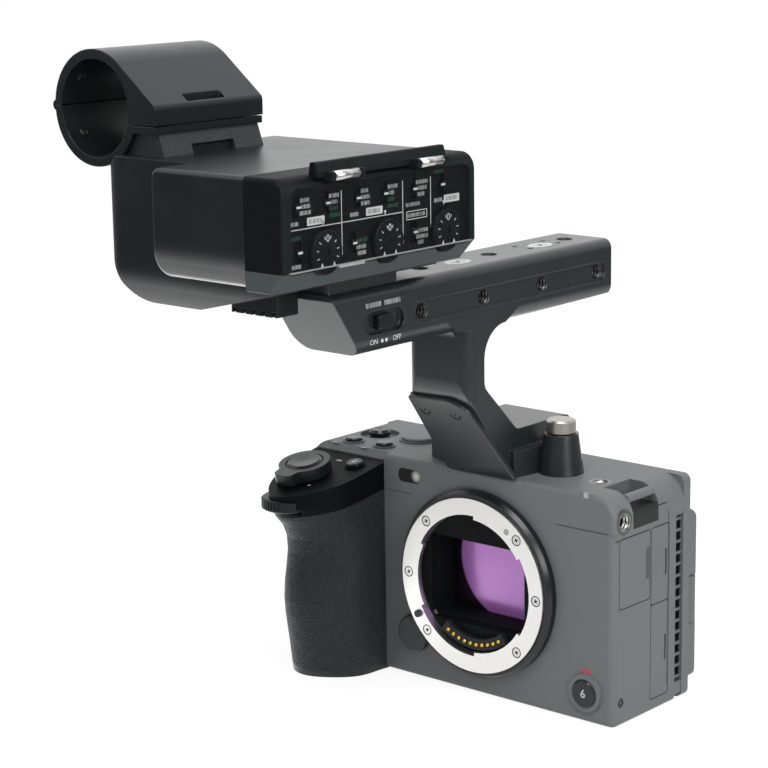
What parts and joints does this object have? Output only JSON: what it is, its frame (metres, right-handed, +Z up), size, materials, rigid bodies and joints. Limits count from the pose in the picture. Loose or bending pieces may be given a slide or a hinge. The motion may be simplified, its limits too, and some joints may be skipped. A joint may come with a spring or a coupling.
{
  "type": "cinema camera",
  "caption": "Interchangeable-lens cinema camera with a bolted top handle, an audio control box under a clear flip cover and a hinged clamp for a shotgun microphone; no lens fitted",
  "frame": {"origin": "mouth of the tripod socket in the base, under the middle of the image sensor", "axes": "+X to the right as seen from the front (terminal doors' side), +Y backwards, away from the lens mount, +Z up"},
  "size_m": [0.1455, 0.176, 0.2195],
  "materials": {
    "painted_body": "satin dark grey paint",
    "painted_handle": "fine satin near-black paint",
    "dark_plastic": "matt black plastic",
    "box_plastic": "smooth black plastic",
    "textured_plastic": "coarse grained black plastic",
    "gloss_black": "polished black",
    "knurled_black": "fine knurled rim",
    "grip_rubber": "grained rubber",
    "matte_black": "flocked black",
    "sensor_glass": "coated cover glass",
    "tally_lens": "smoked window",
    "clear_cover": "clear smooth plastic",
    "mount_steel": "finely turned",
    "contact_brass": "gold plated pins on black",
    "insert_brass": "nickel plated bush",
    "dark_steel": "small machined heads",
    "knob_aluminium": "knurled bright knob",
    "circuit_board": "solder mask"
  },
  "bodies": {
    "camera": {"front_cover": "painted_body", "top_cover": "painted_body", "rear_cover": "painted_body", "bottom_plate": "dark_plastic", "grip_body": "dark_plastic", "grip_skin": "grip_rubber", "grip_top": "gloss_black", "light_box": "matte_black", "sensor": "sensor_glass", "main_board": "circuit_board", "fan_housing": "dark_plastic", "mount_collar": "gloss_black", "lens_mount_ring": "mount_steel", "contact_block": "contact_brass", "battery": "dark_plastic", "thread_inserts": "insert_brass", "screws": "dark_steel", "tally_window": "tally_lens", "handle_body": "painted_handle", "foot_cover": "painted_handle", "audio_shell": "box_plastic", "audio_front_cover": "box_plastic", "control_panel": "box_plastic", "xlr_sockets": "dark_plastic", "mic_base": "textured_plastic", "mic_cradle": "box_plastic", "rear_buttons": "gloss_black"},
    "fan_rotor": {"fan_rotor": "dark_plastic"},
    "lens_release": {"lens_release": "gloss_black"},
    "front_record_button": {"front_record_button": "gloss_black"},
    "record_button": {"record_button": "gloss_black"},
    "shutter_button": {"shutter_button": "gloss_black"},
    "zoom_lever": {"zoom_lever": "gloss_black"},
    "grip_button": {"grip_button": "gloss_black"},
    "left_button": {"left_button": "gloss_black"},
    "right_button": {"right_button": "gloss_black"},
    "front_dial": {"front_dial": "knurled_black"},
    "control_stick": {"control_stick": "gloss_black"},
    "battery_door": {"battery_door": "dark_plastic"},
    "audio_door": {"audio_door": "grip_rubber"},
    "hdmi_door": {"hdmi_door": "grip_rubber"},
    "usb_door": {"usb_door": "grip_rubber"},
    "monitor": {"monitor": "gloss_black"},
    "thumb_screw": {"thumb_screw": "knob_aluminium"},
    "handle_switch": {"handle_switch": "gloss_black"},
    "flip_cover": {"flip_cover": "clear_cover"},
    "level_dial_1": {"level_dial_1": "knurled_black"},
    "level_dial_2": {"level_dial_2": "knurled_black"},
    "level_dial_3": {"level_dial_3": "knurled_black"},
    "mic_cover": {"mic_cover": "box_plastic"},
    "rear_wheel": {"rear_wheel": "knurled_black"},
    "channel_switch_1": {"channel_switch_1": "gloss_black"},
    "channel_switch_2": {"channel_switch_2": "gloss_black"},
    "channel_switch_3": {"channel_switch_3": "gloss_black"},
    "channel_switch_4": {"channel_switch_4": "gloss_black"},
    "channel_switch_5": {"channel_switch_5": "gloss_black"},
    "channel_switch_6": {"channel_switch_6": "gloss_black"},
    "channel_switch_7": {"channel_switch_7": "gloss_black"},
    "channel_switch_8": {"channel_switch_8": "gloss_black"},
    "channel_switch_9": {"channel_switch_9": "gloss_black"}
  },
  "joints": [
    {"name": "shutter_press", "type": "slide", "parent": "camera", "child": "shutter_button", "axis": [0, 0.2072, -0.9783], "range_m": [0, 0.0012], "stiffness_N_per_m": 300},
    {"name": "zoom_turn", "type": "hinge", "parent": "camera", "child": "zoom_lever", "pos_m": [-0.0626, -0.03, 0.07039], "axis": [0, -0.2072, 0.9783], "range_deg": [-15, 15], "stiffness_Nm_per_rad": 0.02},
    {"name": "grip_button_press", "type": "slide", "parent": "camera", "child": "grip_button", "axis": [0, 0.2072, -0.9783], "range_m": [0, 0.0008], "stiffness_N_per_m": 300},
    {"name": "front_dial_turn", "type": "hinge", "parent": "camera", "child": "front_dial", "pos_m": [-0.0614, -0.0396, 0.0626], "axis": [0, 0, 1], "continuous": true},
    {"name": "left_button_press", "type": "slide", "parent": "camera", "child": "left_button", "axis": [0, 0, -1], "range_m": [0, 0.0008], "stiffness_N_per_m": 300},
    {"name": "right_button_press", "type": "slide", "parent": "camera", "child": "right_button", "axis": [0, 0, -1], "range_m": [0, 0.0008], "stiffness_N_per_m": 300},
    {"name": "record_press", "type": "slide", "parent": "camera", "child": "record_button", "axis": [0, 0, -1], "range_m": [0, 0.0008], "stiffness_N_per_m": 400},
    {"name": "front_record_press", "type": "slide", "parent": "camera", "child": "front_record_button", "axis": [0, 1, 0], "range_m": [0, 0.0008], "stiffness_N_per_m": 400},
    {"name": "lens_release_press", "type": "slide", "parent": "camera", "child": "lens_release", "axis": [0, 1, 0], "range_m": [0, 0.0016], "stiffness_N_per_m": 400},
    {"name": "stick_tilt", "type": "hinge", "parent": "camera", "child": "control_stick", "pos_m": [-0.0629, 0.0088, 0.072], "axis": [1, 0, 0], "range_deg": [-9, 9], "stiffness_Nm_per_rad": 0.01},
    {"name": "battery_door_swing", "type": "hinge", "parent": "camera", "child": "battery_door", "pos_m": [-0.0707, 0, 0.0009], "axis": [0, 1, 0], "range_deg": [0, 100]},
    {"name": "audio_door_swing", "type": "hinge", "parent": "camera", "child": "audio_door", "pos_m": [0.0552, -0.0106, 0.0512], "axis": [0, 0, -1], "range_deg": [0, 100]},
    {"name": "hdmi_door_swing", "type": "hinge", "parent": "camera", "child": "hdmi_door", "pos_m": [0.0552, 0.0072, 0.0498], "axis": [0, 0, -1], "range_deg": [0, 100]},
    {"name": "usb_door_swing", "type": "hinge", "parent": "camera", "child": "usb_door", "pos_m": [0.0552, 0.0072, 0.0206], "axis": [0, 0, -1], "range_deg": [0, 100]},
    {"name": "monitor_swing", "type": "hinge", "parent": "camera", "child": "monitor", "pos_m": [0.0527, 0.0326, 0.034], "axis": [0, 0, -1], "range_deg": [0, 176]},
    {"name": "rear_wheel_turn", "type": "hinge", "parent": "camera", "child": "rear_wheel", "pos_m": [-0.049, 0.032, 0.034], "axis": [0, 1, 0], "continuous": true},
    {"name": "fan_spin", "type": "hinge", "parent": "camera", "child": "fan_rotor", "pos_m": [0.012, 0.0144, 0.038], "axis": [0, 1, 0], "continuous": true},
    {"name": "thumb_screw_turn", "type": "hinge", "parent": "camera", "child": "thumb_screw", "pos_m": [0.0204, 0.0048, 0.086], "axis": [0, 0, 1], "continuous": true},
    {"name": "handle_switch_slide", "type": "slide", "parent": "camera", "child": "handle_switch", "axis": [0, 1, 0], "range_m": [-0.0045, 0.0045]},
    {"name": "flip_cover_swing", "type": "hinge", "parent": "camera", "child": "flip_cover", "pos_m": [0.0278, -0.088, 0.1874], "axis": [0, -1, 0], "range_deg": [0, 110]},
    {"name": "mic_cover_swing", "type": "hinge", "parent": "camera", "child": "mic_cover", "pos_m": [-0.0886, -0.09, 0.2015], "axis": [0, -1, 0], "range_deg": [0, 100]},
    {"name": "level_dial_1_turn", "type": "hinge", "parent": "camera", "child": "level_dial_1", "pos_m": [0.0251, -0.1133, 0.1658], "axis": [1, 0, 0], "continuous": true},
    {"name": "level_dial_2_turn", "type": "hinge", "parent": "camera", "child": "level_dial_2", "pos_m": [0.0251, -0.0866, 0.1658], "axis": [1, 0, 0], "continuous": true},
    {"name": "level_dial_3_turn", "type": "hinge", "parent": "camera", "child": "level_dial_3", "pos_m": [0.0251, -0.0599, 0.1658], "axis": [1, 0, 0], "continuous": true},
    {"name": "channel_switch_1_slide", "type": "slide", "parent": "camera", "child": "channel_switch_1", "axis": [0, 0, 1], "range_m": [-0.0016, 0.0016]},
    {"name": "channel_switch_2_slide", "type": "slide", "parent": "camera", "child": "channel_switch_2", "axis": [0, 0, 1], "range_m": [-0.0016, 0.0016]},
    {"name": "channel_switch_3_slide", "type": "slide", "parent": "camera", "child": "channel_switch_3", "axis": [0, 0, 1], "range_m": [-0.0016, 0.0016]},
    {"name": "channel_switch_4_slide", "type": "slide", "parent": "camera", "child": "channel_switch_4", "axis": [0, 0, 1], "range_m": [-0.0016, 0.0016]},
    {"name": "channel_switch_5_slide", "type": "slide", "parent": "camera", "child": "channel_switch_5", "axis": [0, 0, 1], "range_m": [-0.0016, 0.0016]},
    {"name": "channel_switch_6_slide", "type": "slide", "parent": "camera", "child": "channel_switch_6", "axis": [0, 0, 1], "range_m": [-0.0016, 0.0016]},
    {"name": "channel_switch_7_slide", "type": "slide", "parent": "camera", "child": "channel_switch_7", "axis": [0, 0, 1], "range_m": [-0.0016, 0.0016]},
    {"name": "channel_switch_8_slide", "type": "slide", "parent": "camera", "child": "channel_switch_8", "axis": [0, 0, 1], "range_m": [-0.0016, 0.0016]},
    {"name": "channel_switch_9_slide", "type": "slide", "parent": "camera", "child": "channel_switch_9", "axis": [0, 0, 1], "range_m": [-0.0016, 0.0016]}
  ]
}
